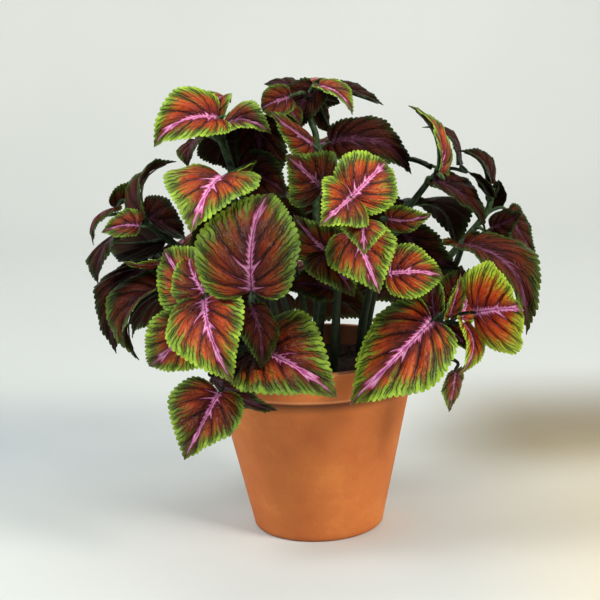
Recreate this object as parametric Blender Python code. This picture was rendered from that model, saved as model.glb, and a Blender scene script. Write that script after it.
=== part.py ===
"""A coleus in a terracotta pot: a turned pot, its soil, and leafy shoots that stand in holes in the soil.

The frame has +Z up and its origin at the middle of the pot's foot. +X is the viewer's right and -Y is
towards the viewer. Lengths in the tables are whole millimetres. Each leaf is given by where its blade
begins, where its tip is and which way its upper face looks.
"""

import math
import random

import bmesh
import bpy
from mathutils import Vector

MM = 0.001
GAP = 0.0003
WELD = 0.000001
FLAT_ANGLE = 0.4

# Pot: a 16 cm terracotta pot with a plain band at the rim
POT_HEIGHT = 0.135
FOOT_RADIUS = 0.049
FOOT_ROUND = 0.0025
BAND_BOTTOM = 0.1135
BODY_RADIUS_AT_BAND = 0.0730
BAND_RADIUS = 0.0748
RIM_RADIUS = 0.0782
WALL = 0.0046
FLOOR = 0.006
RIM_ROUND = 0.0014
POT_SIDES = 36
DRAIN_HOLES = 4
DRAIN_RADIUS = 0.0045
DRAIN_CIRCLE = 0.026

# Soil: fills the pot to a little below the rim
SOIL_TOP = 0.123
SOIL_CROWN = 0.002
SOIL_SIDES = 32
HOLE_DEPTH = 0.022
HOLE_SIDES = 6

# Stems and leaf stalks
STEM_RADIUS_LOW = 0.0030
STEM_RADIUS_HIGH = 0.0021
STEM_SIDES = 6
STALK_RADIUS = 0.0013
STALK_END = 0.0009
STALK_SUNK = 0.001

# Leaf blades
BLADE_THICKNESS = 0.0008
CURL = 0.45
NOTCH_DEPTH = 0.07
LOBE = 0.13
LOBE_END = 0.34
WIDTH = 0.48
ARCH = 0.12
FOLD = 10

GREEN = (0.16, 0.25, 0.05)
STEM_GREEN = (0.05, 0.09, 0.03)
TERRACOTTA = (0.56, 0.20, 0.07)
EARTH = (0.022, 0.014, 0.010)

# Each shoot: its hole in the soil, the points its stem passes, and its leaves.
# A leaf is (blade base, tip, upper face towards, half width and arch as parts of its length, fold angle).
SHOOTS = {
    "shoot_top_left": {
        "hole": (-22, 6),
        "stem": [(-27, 8, 160), (-42, 4, 230), (-58, -2, 282), (-65, -6, 304)],
        "leaves": [
            ((-62, -22, 310), (-107, -28, 292), (-2, -8, 6), 0.51, 0.30, 30),
            ((-58, 6, 301), (-24, -15, 297), (-3, -4, 9), 0.51, 0.22, 25),
            ((-65, -15, 307), (-53, 6, 318), (-1, -4, 9), 0.49, 0.44, 30),
            ((-79, 0, 293), (-84, -21, 276), (-6, -4, 7), 0.48, 0.12, 20),
            ((-59, 10, 295), (-53, 48, 260), (-1, 7, 7), 0.47, 0.04, 5),
            ((-36, 9, 304), (-29, 34, 260), (1, -9, -5), 0.38, 0.36, 20),
        ],
    },
    "shoot_upper_left": {
        "hole": (-30, -14),
        "stem": [(-36, -20, 165), (-46, -32, 225), (-56, -46, 268)],
        "leaves": [
            ((-59, -48, 272), (-78, -106, 243), (0, -4, 9), 0.51, 0.12, 20),
            ((-57, -35, 269), (-35, -17, 279), (7, -4, -7), 0.53, 0.00, 35),
            ((-49, -5, 270), (-16, 6, 249), (6, -8, 2), 0.51, 0.24, 15),
        ],
    },
    "shoot_front_left": {
        "hole": (-16, -44),
        "stem": [(-20, -54, 145), (-30, -72, 170), (-38, -86, 192)],
        "leaves": [
            ((-39, -116, 205), (-25, -74, 263), (-3, -7, 7), 0.54, 0.20, 25),
            ((-41, -102, 191), (-35, -118, 151), (7, -6, 4), 0.48, 0.10, 10),
            ((-38, -88, 156), (15, -128, 133), (-2, -7, 7), 0.52, 0.18, 25),
        ],
    },
    "shoot_left": {
        "hole": (-40, -34),
        "stem": [(-48, -46, 145), (-60, -70, 175), (-71, -92, 196)],
        "leaves": [
            ((-72, -94, 195), (-54, -124, 145), (-4, -8, 5), 0.51, 0.18, 20),
            ((-72, -86, 198), (-83, -52, 223), (-8, -4, 5), 0.49, 0.12, 30),
            ((-75, -71, 192), (-103, -36, 220), (-6, -7, 4), 0.49, 0.12, 15),
            ((-80, -84, 178), (-115, -71, 144), (-1, -10, -2), 0.49, 0.14, 20),
        ],
    },
    "shoot_low_left": {
        "hole": (-36, -46),
        "stem": [(-40, -52, 146), (-52, -66, 152), (-63, -80, 142)],
        "leaves": [
            ((-66, -82, 126), (-91, -103, 85), (-2, -8, 6), 0.58, 0.02, 30),
            ((-70, -76, 136), (-26, -89, 114), (-5, -7, -6), 0.40, 0.10, 0),
        ],
    },
    "shoot_top": {
        "hole": (2, 4),
        "stem": [(4, 6, 170), (6, 4, 240), (8, -4, 288), (4, -2, 305), (2, 0, 322)],
        "leaves": [
            ((-10, -21, 323), (-30, -11, 314), (-6, -8, 0), 0.50, 0.36, 15),
            ((-4, 16, 324), (-29, 28, 329), (0, -4, 9), 0.48, 0.14, 5),
            ((0, 28, 326), (17, 38, 330), (0, -2, 10), 0.47, 0.16, 0),
            ((11, -4, 328), (34, -12, 308), (5, -4, 8), 0.49, 0.18, 25),
            ((28, 16, 325), (58, 22, 311), (4, -2, 9), 0.44, 0.02, 25),
            ((-16, -8, 320), (-3, -23, 302), (5, -3, 8), 0.44, 0.04, 20),
            ((10, 2, 313), (19, 11, 293), (-8, 6, -1), 0.44, 0.02, 15),
            ((5, -31, 290), (-24, -47, 316), (7, -4, 6), 0.47, -0.02, 0),
            ((8, 15, 284), (40, 4, 282), (-2, -3, 9), 0.48, 0.10, 5),
            ((18, -4, 288), (76, 1, 262), (3, -7, 6), 0.35, 0.32, 15),
            ((9, 0, 326), (-5, 8, 296), (-5, -8, 2), 0.51, 0.32, 25),
            ((6, 16, 321), (27, 40, 312), (-6, 7, 2), 0.44, 0.06, 15),
        ],
    },
    "shoot_upper_front": {
        "hole": (14, -40),
        "stem": [(16, -48, 160), (22, -64, 215), (28, -86, 248), (30, -94, 259)],
        "leaves": [
            ((29, -87, 260), (55, -50, 278), (5, -6, 6), 0.50, 0.14, 20),
            ((28, -101, 262), (7, -137, 250), (6, -5, 6), 0.50, 0.12, 15),
            ((35, -106, 246), (35, -133, 229), (1, -6, 8), 0.48, 0.12, 15),
            ((30, -90, 237), (45, -122, 201), (-1, -8, 6), 0.50, 0.12, 5),
            ((10, -58, 264), (-14, -89, 291), (6, -8, -4), 0.49, 0.10, 10),
        ],
    },
    "shoot_middle": {
        "hole": (4, -28),
        "stem": [(6, -36, 160), (10, -52, 190), (13, -68, 214)],
        "leaves": [
            ((15, -59, 217), (-10, -70, 247), (0, -9, -4), 0.48, 0.12, 10),
            ((13, -79, 221), (29, -102, 195), (-3, -7, 7), 0.55, 0.30, 30),
            ((13, -73, 195), (-18, -75, 196), (0, -7, 7), 0.49, 0.20, 20),
        ],
    },
    "shoot_right_front": {
        "hole": (34, -24),
        "stem": [(38, -30, 165), (48, -48, 210), (58, -50, 235)],
        "leaves": [
            ((55, -62, 241), (85, -63, 243), (0, -8, -6), 0.48, 0.12, 10),
            ((67, -42, 227), (106, -45, 200), (-3, -8, -6), 0.48, 0.12, 10),
            ((53, -82, 206), (92, -68, 200), (4, -8, 5), 0.50, 0.14, 20),
        ],
    },
    "shoot_low_right": {
        "hole": (42, -40),
        "stem": [(54, -54, 145), (74, -72, 162), (98, -82, 171)],
        "leaves": [
            ((81, -99, 176), (24, -104, 121), (-5, -7, 6), 0.48, 0.00, 10),
            ((112, -75, 175), (138, -130, 188), (-9, -4, -2), 0.55, -0.10, 5),
            ((104, -64, 169), (111, -53, 202), (5, -8, 1), 0.45, 0.10, 10),
            ((94, -75, 173), (103, -75, 202), (8, -6, -2), 0.42, 0.02, 25),
            ((103, -85, 170), (98, -102, 138), (8, -5, 3), 0.41, 0.26, 20),
            ((92, -79, 166), (106, -86, 151), (2, -6, 8), 0.48, 0.12, 15),
            ((97, -85, 136), (93, -81, 106), (8, -6, -2), 0.47, 0.02, 10),
            ((85, -84, 174), (87, -57, 197), (-8, -3, 5), 0.47, 0.06, 25),
        ],
    },
    "shoot_right": {
        "hole": (52, -12),
        "stem": [(80, -22, 148), (94, -31, 164), (94, -32, 182), (104, -30, 200), (109, -26, 211)],
        "leaves": [
            ((109, -30, 213), (149, -68, 156), (5, -5, 7), 0.38, 0.28, 25),
            ((98, -46, 176), (108, -32, 200), (4, -9, 3), 0.49, 0.14, 15),
        ],
    },
    "shoot_far_right": {
        "hole": (54, 8),
        "stem": [(72, 8, 165), (108, 4, 205), (130, 0, 232), (135, 1, 250)],
        "leaves": [
            ((134, 11, 237), (139, -1, 256), (9, 4, 2), 0.43, 0.20, 20),
            ((133, -9, 245), (115, -8, 264), (7, 3, 6), 0.48, 0.12, 10),
            ((132, -4, 254), (110, -1, 278), (7, -3, 7), 0.48, 0.24, 25),
            ((146, 3, 230), (167, 8, 195), (7, -6, 5), 0.47, 0.00, 15),
            ((132, -10, 222), (152, -26, 235), (-8, -4, 4), 0.49, -0.06, 5),
        ],
    },
    "shoot_upper_right": {
        "hole": (38, 4),
        "stem": [(46, 6, 170), (66, 0, 225), (84, -4, 252), (96, 0, 264)],
        "leaves": [
            ((95, -22, 267), (74, -10, 313), (9, -2, 5), 0.46, 0.18, 20),
            ((113, 18, 266), (86, 18, 294), (7, -2, 7), 0.46, 0.28, 10),
            ((91, -17, 259), (127, -20, 221), (7, -3, 7), 0.50, 0.14, 20),
            ((75, 10, 239), (111, 32, 198), (5, 5, 7), 0.58, 0.30, 15),
            ((92, 12, 266), (60, 28, 268), (0, 3, 10), 0.44, 0.12, 10),
        ],
    },
    "shoot_far_left": {
        "hole": (-50, 4),
        "stem": [(-62, 6, 165), (-88, 4, 205), (-112, 0, 228), (-122, -4, 235)],
        "leaves": [
            ((-117, -25, 240), (-94, -2, 278), (-8, -1, 6), 0.50, 0.30, 25),
            ((-143, 19, 243), (-116, 27, 270), (8, -2, -6), 0.59, 0.12, -10),
            ((-132, 1, 229), (-152, -35, 197), (-7, -2, 7), 0.56, 0.18, 10),
            ((-140, 6, 245), (-157, -9, 220), (-7, -2, 6), 0.38, 0.28, -5),
            ((-119, -6, 238), (-92, 17, 216), (8, -3, 6), 0.54, 0.08, 35),
            ((-106, 8, 218), (-155, 42, 212), (3, 4, -8), 0.46, 0.04, 0),
            ((-120, -30, 236), (-149, -20, 231), (-4, -5, 8), 0.49, 0.10, 25),
        ],
    },
    "shoot_outer_left": {
        "hole": (-50, -16),
        "stem": [(-64, -18, 155), (-88, -20, 180), (-102, -22, 196)],
        "leaves": [
            ((-118, 11, 200), (-145, -13, 139), (-5, -6, 5), 0.39, 0.30, 10),
            ((-106, -27, 190), (-126, -34, 139), (-8, -4, 4), 0.52, 0.34, 35),
            ((-101, -23, 209), (-134, -33, 212), (0, -4, -9), 0.44, 0.08, 10),
        ],
    },
}

# Shoots of the far side grow by rule: hole, where the stem ends, the largest leaf's length, leaf pairs.
FAR_SHOOTS = {
    "shoot_back_left": ((-36, 28), (-105, 74, 197), 56, 3),
    "shoot_back_top_left": ((-14, 26), (-45, 47, 244), 56, 2),
    "shoot_back_middle": ((-4, 48), (-14, 104, 184), 58, 3),
    "shoot_back_top_right": ((18, 24), (28, 69, 244), 54, 2),
    "shoot_back_right": ((36, 36), (78, 102, 191), 56, 3),
}
FAR_CLEAR = 152
FAR_SEED = 30


def material(name, colour, roughness):
    """A plain Principled material."""
    made = bpy.data.materials.new(name)
    made.use_nodes = True
    shader = made.node_tree.nodes["Principled BSDF"]
    shader.inputs["Base Color"].default_value = (*colour, 1)
    shader.inputs["Roughness"].default_value = roughness
    shader.inputs["Metallic"].default_value = 0
    made.diffuse_color = (*colour, 1)
    return made


def add_object(name, bm, mat):
    """Makes a mesh object from a bmesh, with its faces pointing out."""
    bmesh.ops.recalc_face_normals(bm, faces=bm.faces)
    mesh = bpy.data.meshes.new(name)
    bm.to_mesh(mesh)
    bm.free()
    mesh.materials.append(mat)
    made = bpy.data.objects.new(name, mesh)
    bpy.context.scene.collection.objects.link(made)
    return made


def apply_modifiers(target):
    """Bakes an object's modifiers into its mesh."""
    graph = bpy.context.evaluated_depsgraph_get()
    mesh = bpy.data.meshes.new_from_object(target.evaluated_get(graph))
    target.modifiers.clear()
    target.data = mesh


def boolean(target, pieces, operation, solver="EXACT"):
    """Joins the pieces to the target, or cuts them from it, in one step, and removes them."""
    group = bpy.data.collections.new("group")
    bpy.context.scene.collection.children.link(group)
    for piece in pieces:
        group.objects.link(piece)
    step = target.modifiers.new("boolean", "BOOLEAN")
    step.operation = operation
    step.operand_type = "COLLECTION"
    step.collection = group
    step.solver = solver
    apply_modifiers(target)
    for piece in pieces:
        bpy.data.objects.remove(piece)
    bpy.data.collections.remove(group)


def tidy(target):
    """Joins the flat scraps that a union leaves into whole faces, and drops loose scraps."""
    bm = bmesh.new()
    bm.from_mesh(target.data)
    bmesh.ops.dissolve_degenerate(bm, edges=bm.edges, dist=WELD)
    bmesh.ops.dissolve_limit(bm, angle_limit=math.radians(FLAT_ANGLE), verts=bm.verts, edges=bm.edges)
    bmesh.ops.triangulate(bm, faces=bm.faces)
    kept = {min(bm.faces, key=lambda f: f.calc_center_median().z)}
    edge = list(kept)
    while edge:
        near = {f for face in edge for e in face.edges for f in e.link_faces} - kept
        kept |= near
        edge = list(near)
    bmesh.ops.delete(bm, geom=[f for f in bm.faces if f not in kept], context="FACES")
    bmesh.ops.delete(bm, geom=[e for e in bm.edges if not e.link_faces], context="EDGES")
    bm.to_mesh(target.data)
    bm.free()


def turned(name, profile, sides, mat):
    """A closed profile of (radius, height) turned about Z. Points on the axis become poles."""
    bm = bmesh.new()
    rings = []
    for radius, height in profile:
        if radius == 0:
            rings.append([bm.verts.new((0, 0, height))])
            continue
        turn = [2 * math.pi * k / sides for k in range(sides)]
        rings.append([bm.verts.new((radius * math.cos(a), radius * math.sin(a), height)) for a in turn])
    for low, high in zip(rings, rings[1:] + rings[:1]):
        if len(low) == 1 and len(high) == 1:
            continue
        for k in range(sides):
            after = (k + 1) % sides
            corners = [low[k % len(low)], low[after % len(low)], high[after % len(high)], high[k % len(high)]]
            bm.faces.new(list(dict.fromkeys(corners)))
    return add_object(name, bm, mat)


def arc(centre, radius, start, end, steps):
    """Points on an arc of a profile, between two angles in degrees."""
    angles = [math.radians(start + (end - start) * k / steps) for k in range(steps + 1)]
    return [(centre[0] + radius * math.cos(a), centre[1] + radius * math.sin(a)) for a in angles]


def inner_radius(height):
    """The pot's inner wall at a height."""
    slope = (BODY_RADIUS_AT_BAND - FOOT_RADIUS) / BAND_BOTTOM
    return FOOT_RADIUS + slope * height - WALL


def build_pot(mat):
    """The pot, turned in one profile from the foot up the outside and down the inside, with its drain holes."""
    foot = arc((FOOT_RADIUS - FOOT_ROUND, FOOT_ROUND), FOOT_ROUND, -90, 0, 2)
    lip = arc((RIM_RADIUS - RIM_ROUND, POT_HEIGHT - RIM_ROUND), RIM_ROUND, 0, 90, 2)
    inner_top = inner_radius(POT_HEIGHT)
    profile = [(0, 0)] + foot
    profile += [(BODY_RADIUS_AT_BAND, BAND_BOTTOM), (BAND_RADIUS, BAND_BOTTOM + 0.0006)]
    profile += lip
    profile += [(inner_top, POT_HEIGHT), (inner_radius(FLOOR), FLOOR), (0, FLOOR)]
    pot = turned("pot", profile, POT_SIDES, mat)
    cutters = []
    for k in range(DRAIN_HOLES):
        turn = 2 * math.pi * (k + 0.5) / DRAIN_HOLES
        place = (DRAIN_CIRCLE * math.cos(turn), DRAIN_CIRCLE * math.sin(turn))
        cutters.append(rod(place, -FLOOR, 2 * FLOOR, DRAIN_RADIUS, 10))
    boolean(pot, cutters, "DIFFERENCE")
    pot.data.shade_smooth()
    pot.data.set_sharp_from_angle(angle=math.radians(35))
    return pot


def rod(place, low, high, radius, sides):
    """An upright cutter."""
    bm = bmesh.new()
    bmesh.ops.create_cone(bm, cap_ends=True, segments=sides, radius1=radius, radius2=radius, depth=high - low)
    bmesh.ops.translate(bm, verts=bm.verts, vec=(place[0], place[1], (low + high) / 2))
    cutter = add_object("cutter", bm, bpy.data.materials[0])
    cutter.hide_render = True
    cutter.display_type = "WIRE"
    return cutter


def build_soil(mat, holes):
    """The soil, a plug that fills the pot, with a plain hole for each stem."""
    base = FLOOR + GAP
    edge = SOIL_TOP - SOIL_CROWN
    profile = [
        (0, base),
        (inner_radius(base) - GAP, base),
        (inner_radius(edge) - GAP, edge),
        (inner_radius(edge) * 0.7, SOIL_TOP - SOIL_CROWN / 4),
        (0, SOIL_TOP),
    ]
    soil = turned("soil", profile, SOIL_SIDES, mat)
    wide = (STEM_RADIUS_LOW + GAP) / math.cos(math.pi / HOLE_SIDES)
    cutters = [rod(place, SOIL_TOP - HOLE_DEPTH, SOIL_TOP + 0.01, wide, HOLE_SIDES) for place in holes]
    boolean(soil, cutters, "DIFFERENCE")
    return soil


def smooth_path(points, steps):
    """A Catmull-Rom curve through the points."""
    ends = [points[0] * 2 - points[1]] + points + [points[-1] * 2 - points[-2]]
    path = []
    for before, start, end, after in zip(ends, ends[1:], ends[2:], ends[3:]):
        for k in range(steps):
            t = k / steps
            path.append(
                0.5
                * (
                    2 * start
                    + (end - before) * t
                    + (2 * before - 5 * start + 4 * end - after) * t * t
                    + (3 * start - before - 3 * end + after) * t * t * t
                )
            )
    return path + [points[-1]]


def tube(path, radii, sides, mat):
    """A closed tube along a path."""
    bm = bmesh.new()
    side = Vector((1, 0, 0))
    rings = []
    for k, point in enumerate(path):
        along = (path[min(k + 1, len(path) - 1)] - path[max(k - 1, 0)]).normalized()
        side = (side - along * side.dot(along)).normalized()
        cross = along.cross(side)
        turn = [2 * math.pi * j / sides for j in range(sides)]
        rings.append([bm.verts.new(point + (side * math.cos(a) + cross * math.sin(a)) * radii[k]) for a in turn])
    for low, high in zip(rings, rings[1:]):
        for j in range(sides):
            after = (j + 1) % sides
            bm.faces.new((low[j], low[after], high[after], high[j]))
    bm.faces.new(rings[0])
    bm.faces.new(rings[-1])
    return add_object("tube", bm, mat)


class Blade:
    """A leaf's surface: its margin and midrib as formulas of how far along the margin a point is."""

    def __init__(self, base, tip, face, width=WIDTH, arch=ARCH, fold=FOLD):
        self.base = Vector(base) * MM
        chord = Vector(tip) * MM - self.base
        self.length = chord.length
        self.along = chord.normalized()
        face = Vector(face)
        self.up = (face - self.along * face.dot(self.along)).normalized()
        self.side = self.along.cross(self.up)
        self.width = width
        self.arch = arch
        self.fold = math.radians(fold)

    @staticmethod
    def margin(a):
        """The margin at part a of its way from base to tip: along and across, for a leaf 1 long and 1 wide."""
        lobe = LOBE * math.sin(math.pi * a / LOBE_END) if a < LOBE_END else 0
        along = 0.25 * (1 - math.cos(math.pi * a)) + 0.5 * a**1.3 - lobe
        across = math.sin(math.pi * a) * (1 + 0.45 * math.cos(math.pi * a)) / 1.09
        return along, across

    def point(self, a, t):
        """The surface at part a of the margin's way, and t from -1 at one edge over 0 at the midrib to 1."""
        edge, across = self.margin(a)
        rib = a**2.2
        out = abs(t)
        x = rib + (edge - rib) * out**1.15
        bend = max(x, 0)
        slope = 4 * self.arch * (1 - 2 * bend)
        centre = self.base + self.along * (x * self.length)
        centre += self.up * (4 * self.arch * bend * (1 - x) * self.length)
        normal = (self.up - self.along * slope).normalized()
        reach = across * out * self.width * self.length
        lift = self.fold - 0.5 * CURL * across * out
        sign = 1 if t > 0 else -1
        return centre + self.side * (sign * reach * math.cos(lift)) + normal * (reach * math.sin(lift))

    def teeth(self):
        """How many rounded teeth each edge has."""
        size = self.length / MM
        return 6 if size > 56 else 5 if size > 36 else 4


def leaf_sheet(blade):
    """The points and triangles of a toothed blade. Points 0 and 1 are the two sides of its base."""
    count = blade.teeth()
    places = [blade.base + blade.side * STALK_END, blade.base - blade.side * STALK_END]
    places += [blade.point(k / count, 0) for k in range(1, count + 1)]
    triangles = [(0, 1, 2)]
    rims = []
    for base, side in enumerate((1, -1)):
        rib = [base] + list(range(2, count + 2))
        first_peak = len(places)
        places += [blade.point((k + 0.5) / count, side) for k in range(count)]
        first_valley = len(places)
        places += [blade.point(k / count, side * (1 - NOTCH_DEPTH)) for k in range(1, count)]
        valleys = [base] + list(range(first_valley, first_valley + count - 1)) + [rib[-1]]
        edge = [base]
        for k in range(count):
            peak = first_peak + k
            if k > 0:
                triangles.append((rib[k], valleys[k], peak))
            triangles.append((rib[k], peak, rib[k + 1]))
            if k < count - 1:
                triangles.append((rib[k + 1], peak, valleys[k + 1]))
            edge += [peak, valleys[k + 1]]
        rims.append(edge)
    return places, triangles, rims


def stalk_path(blade, path):
    """The leaf stalk's middle line, from inside the stem to just behind the blade's base."""
    foot = min(path[:-1], key=lambda p: (p - blade.base).length + 1.2 * max(0, p.z - blade.base.z + 0.004))
    run = (blade.base - foot).length
    foot += (foot - blade.base).normalized() * STALK_SUNK
    if run < 0.012:
        return [foot]
    entry = blade.base - blade.along * min(0.3 * run, 0.008) - blade.up * 0.0006
    middle = (foot + entry) / 2 + Vector((0, 0, 1)) * 0.12 * run
    return [foot, middle, entry]


def build_leaf(blade, path, mat):
    """A closed blade and its stalk in one skin, the blade's two faces split into the same triangles."""
    places, triangles, rims = leaf_sheet(blade)
    normals = [Vector() for _ in places]
    for tri in triangles:
        a, b, c = (places[k] for k in tri)
        normal = (b - a).cross(c - a)
        if normal.dot(blade.up) < 0:
            normal = -normal
        for k in tri:
            normals[k] += normal
    half = BLADE_THICKNESS / 2
    bm = bmesh.new()
    top = [bm.verts.new(p + n.normalized() * half) for p, n in zip(places, normals)]
    low = [bm.verts.new(p - n.normalized() * half) for p, n in zip(places, normals)]
    for a, b, c in triangles:
        bm.faces.new((top[a], top[b], top[c]))
        bm.faces.new((low[c], low[b], low[a]))
    for edge in rims:
        for a, b in zip(edge, edge[1:]):
            bm.faces.new((top[a], low[a], low[b]))
            bm.faces.new((top[a], low[b], top[b]))
    points = stalk_path(blade, path) + [blade.base]
    side = blade.side
    rings = []
    for k, point in enumerate(points[:-1]):
        along = (points[k + 1] - points[max(k - 1, 0)]).normalized()
        side = (blade.side - along * blade.side.dot(along)).normalized()
        rise = side.cross(along)
        radius = STALK_RADIUS * (1.25 - 0.4 * k / len(points))
        corners = ((1, 1), (-1, 1), (-1, -1), (1, -1))
        rings.append([bm.verts.new(point + (side * i + rise * j) * radius * 0.71) for i, j in corners])
    rings.append([top[0], top[1], low[1], low[0]])
    for before, after in zip(rings, rings[1:]):
        for k in range(4):
            last = (k + 1) % 4
            bm.faces.new((before[k], before[last], after[last]))
            bm.faces.new((before[k], after[last], after[k]))
    bm.faces.new(rings[0])
    return add_object("leaf", bm, mat)


def build_shoot(name, hole, stem, leaves, mats):
    """A leafy stem: one body with all its leaves."""
    foot = Vector((hole[0] * MM, hole[1] * MM, SOIL_TOP - HOLE_DEPTH + GAP))
    collar = Vector((hole[0] * MM, hole[1] * MM, SOIL_TOP + 0.002))
    points = [foot, collar] + [Vector(p) * MM for p in stem]
    path = [foot] + smooth_path(points[1:], 2)
    fine = smooth_path(points[1:], 8)
    shrink = STEM_RADIUS_HIGH - STEM_RADIUS_LOW
    radii = [STEM_RADIUS_LOW + shrink * k / (len(path) - 1) for k in range(len(path))]
    shoot = tube(path, radii, STEM_SIDES, mats["stem"])
    shoot.name = name
    shoot.data.materials.append(mats["leaf"])
    pieces = []
    for leaf in leaves:
        blade = Blade(*leaf)
        pieces.append(build_leaf(blade, fine, mats["leaf"]))
    boolean(shoot, pieces, "UNION", "MANIFOLD")
    tidy(shoot)
    return shoot


def far_stem(hole, end):
    """The points that the stem of a far shoot passes: upright over the rim, then outwards."""
    low = Vector((*hole, FAR_CLEAR)).lerp(Vector((*end[:2], FAR_CLEAR)), 0.12)
    high = Vector((*hole, FAR_CLEAR)).lerp(Vector(end), 0.55)
    return [low, high, end]


def far_leaves(end, length, pairs, rng):
    """Crosswise pairs of leaves for a shoot of the far side, the oldest pair lowest and largest."""
    outward = math.atan2(end[1], end[0])
    leaves = []
    for pair in range(pairs):
        drop = 14 * (pairs - 1 - pair)
        size = length * (1 - 0.2 * pair)
        for side in (0, 1):
            turn = outward + math.pi * side + (math.pi / 2 if pair % 2 == 0 else 0)
            turn += math.radians(rng.uniform(-12, 12))
            lean = math.radians(rng.uniform(-34, -22) + 16 * pair)
            flat = Vector((math.cos(turn), math.sin(turn), 0))
            base = Vector(end) + flat * (9 - pair) - Vector((0, 0, drop))
            tip = base + (flat * math.cos(lean) + Vector((0, 0, math.sin(lean)))) * size
            face = Vector((math.cos(outward), math.sin(outward), 0.5 + 0.7 * pair))
            leaves.append((base, tip, face, WIDTH, 0.16, 12))
    return leaves


def main():
    """Builds the whole plant."""
    for old in list(bpy.data.objects):
        bpy.data.objects.remove(old)
    mats = {
        "pot": material("terracotta", TERRACOTTA, 0.75),
        "soil": material("soil", EARTH, 0.95),
        "stem": material("stem", STEM_GREEN, 0.5),
        "leaf": material("leaf", GREEN, 0.45),
    }
    rng = random.Random(FAR_SEED)
    shoots = {name: (row["hole"], row["stem"], row["leaves"]) for name, row in SHOOTS.items()}
    for name, (hole, end, length, pairs) in FAR_SHOOTS.items():
        shoots[name] = (hole, far_stem(hole, end), far_leaves(end, length, pairs, rng))
    build_pot(mats["pot"])
    holes = [(hole[0] * MM, hole[1] * MM) for hole, _, _ in shoots.values()]
    build_soil(mats["soil"], holes)
    for name, (hole, stem, leaves) in shoots.items():
        build_shoot(name, hole, stem, leaves, mats)


main()
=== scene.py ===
"""The coleus in its terracotta pot, dressed for the photograph.

Every solid of the source is replaced by a finer piece of the same form. The stage, the light and the
camera are added. Lengths are in metres, unless a comment says millimetres.
"""

import math
import random
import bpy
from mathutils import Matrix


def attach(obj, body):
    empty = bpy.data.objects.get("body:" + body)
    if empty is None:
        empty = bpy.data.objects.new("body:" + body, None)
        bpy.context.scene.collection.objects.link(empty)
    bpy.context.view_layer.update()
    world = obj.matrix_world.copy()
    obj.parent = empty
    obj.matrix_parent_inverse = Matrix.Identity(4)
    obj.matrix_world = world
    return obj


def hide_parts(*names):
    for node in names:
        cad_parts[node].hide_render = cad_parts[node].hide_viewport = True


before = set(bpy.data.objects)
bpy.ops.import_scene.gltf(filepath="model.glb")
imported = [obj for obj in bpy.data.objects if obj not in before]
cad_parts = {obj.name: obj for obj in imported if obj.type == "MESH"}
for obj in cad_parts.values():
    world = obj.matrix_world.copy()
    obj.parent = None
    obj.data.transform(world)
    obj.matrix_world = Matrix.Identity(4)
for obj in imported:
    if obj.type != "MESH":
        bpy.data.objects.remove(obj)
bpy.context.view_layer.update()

from types import SimpleNamespace

import bmesh
import bpy
import numpy as np
from mathutils import Matrix, Vector, noise

MM = 0.001
GAP = 0.0003

# Pot: a 16 cm terracotta pot with a plain band at the rim
POT_HEIGHT = 0.135
FOOT_RADIUS = 0.049
FOOT_ROUND = 0.0025
BAND_BOTTOM = 0.1135
BAND_UNDERCUT = 0.0018
BAND_LEDGE = 0.0005
BODY_RADIUS_AT_BAND = 0.0730
BAND_RADIUS = 0.0748
RIM_RADIUS = 0.0782
WALL = 0.0046
FLOOR = 0.006
FLOOR_CORNER_UP = 0.003
FLOOR_CORNER_IN = 0.002
RIM_ROUND = 0.0014
RIM_ROUND_INSIDE = 0.0008
DRAIN_HOLES = 4
DRAIN_RADIUS = 0.0045
DRAIN_CIRCLE = 0.026

# Soil: fills the pot to a little below the rim, with an uneven top and loose crumbs
SOIL_TOP = 0.123
SOIL_CROWN = 0.002
HOLE_DEPTH = 0.022
SOIL_SIDE = 0.003
LUMP_HEIGHT = 0.0022
LUMP_SCALE = 110
LUMP_FADE = 0.006
LUMP_SUNK = 0.0008
CRUMBS = 420
CRUMB_RADIUS = (0.0005, 0.0016)
CRUMB_SUNK = 0.0006
CRUMB_CLEAR = 0.004
CRUMB_SEED = 7

# Stems and leaf stalks
STEM_RADIUS_LOW = 0.0030
STEM_RADIUS_HIGH = 0.0021
STEM_SQUARE = 0.06
STEM_COLLAR = 0.002
STALK_RADIUS = 0.0013
STALK_SUNK = 0.001
STALK_SHORTEST = 0.012
STALK_RUN_IN = 0.008
STALK_RISE = 0.12

# The midrib, which carries the stalk on under the blade: where it is drawn, its radius and how deep it lies
RIB_STEPS = (0.02, 0.08, 0.18, 0.3, 0.45, 0.6, 0.75, 0.88)
RIB_RADIUS = 0.0011
RIB_TIP_RADIUS = 0.00025
RIB_SUNK = 0.0006

# Leaf blades. The margin's way is the same for all leaves: an egg shape with two lobes behind the base.
CURL = 0.45
LOBE = 0.13
LOBE_END = 0.34
EGG = 0.45
EGG_PEAK = 1.09
MARGIN_TURN = 0.25
MARGIN_REACH = 0.5
MARGIN_POWER = 1.3
RIB_POWER = 2.2
VEIN_POWER = 1.15

# Leaves by their length in millimetres: longer ones have more veins and a finer grid
LONG_LEAF = 60
MIDDLE_LEAF = 36
SHORT_LEAF = 30
ROWS_FINE = (0.0, 0.05, 0.16, 0.32, 0.5, 0.68, 0.86, 1.0)
ROWS_COARSE = (0.0, 0.08, 0.28, 0.54, 0.8, 1.0)
MARGIN_SAMPLES = 801

# Teeth: FORKS of them, each with its own small vein, between two side veins
FORKS = 4
TOOTH_DEPTH = 0.0018
TOOTH_LEAF = 70
TOOTH_ROUND = 0.6
TOOTH_MOST = 0.2
TOOTH_REACH = 6

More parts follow.
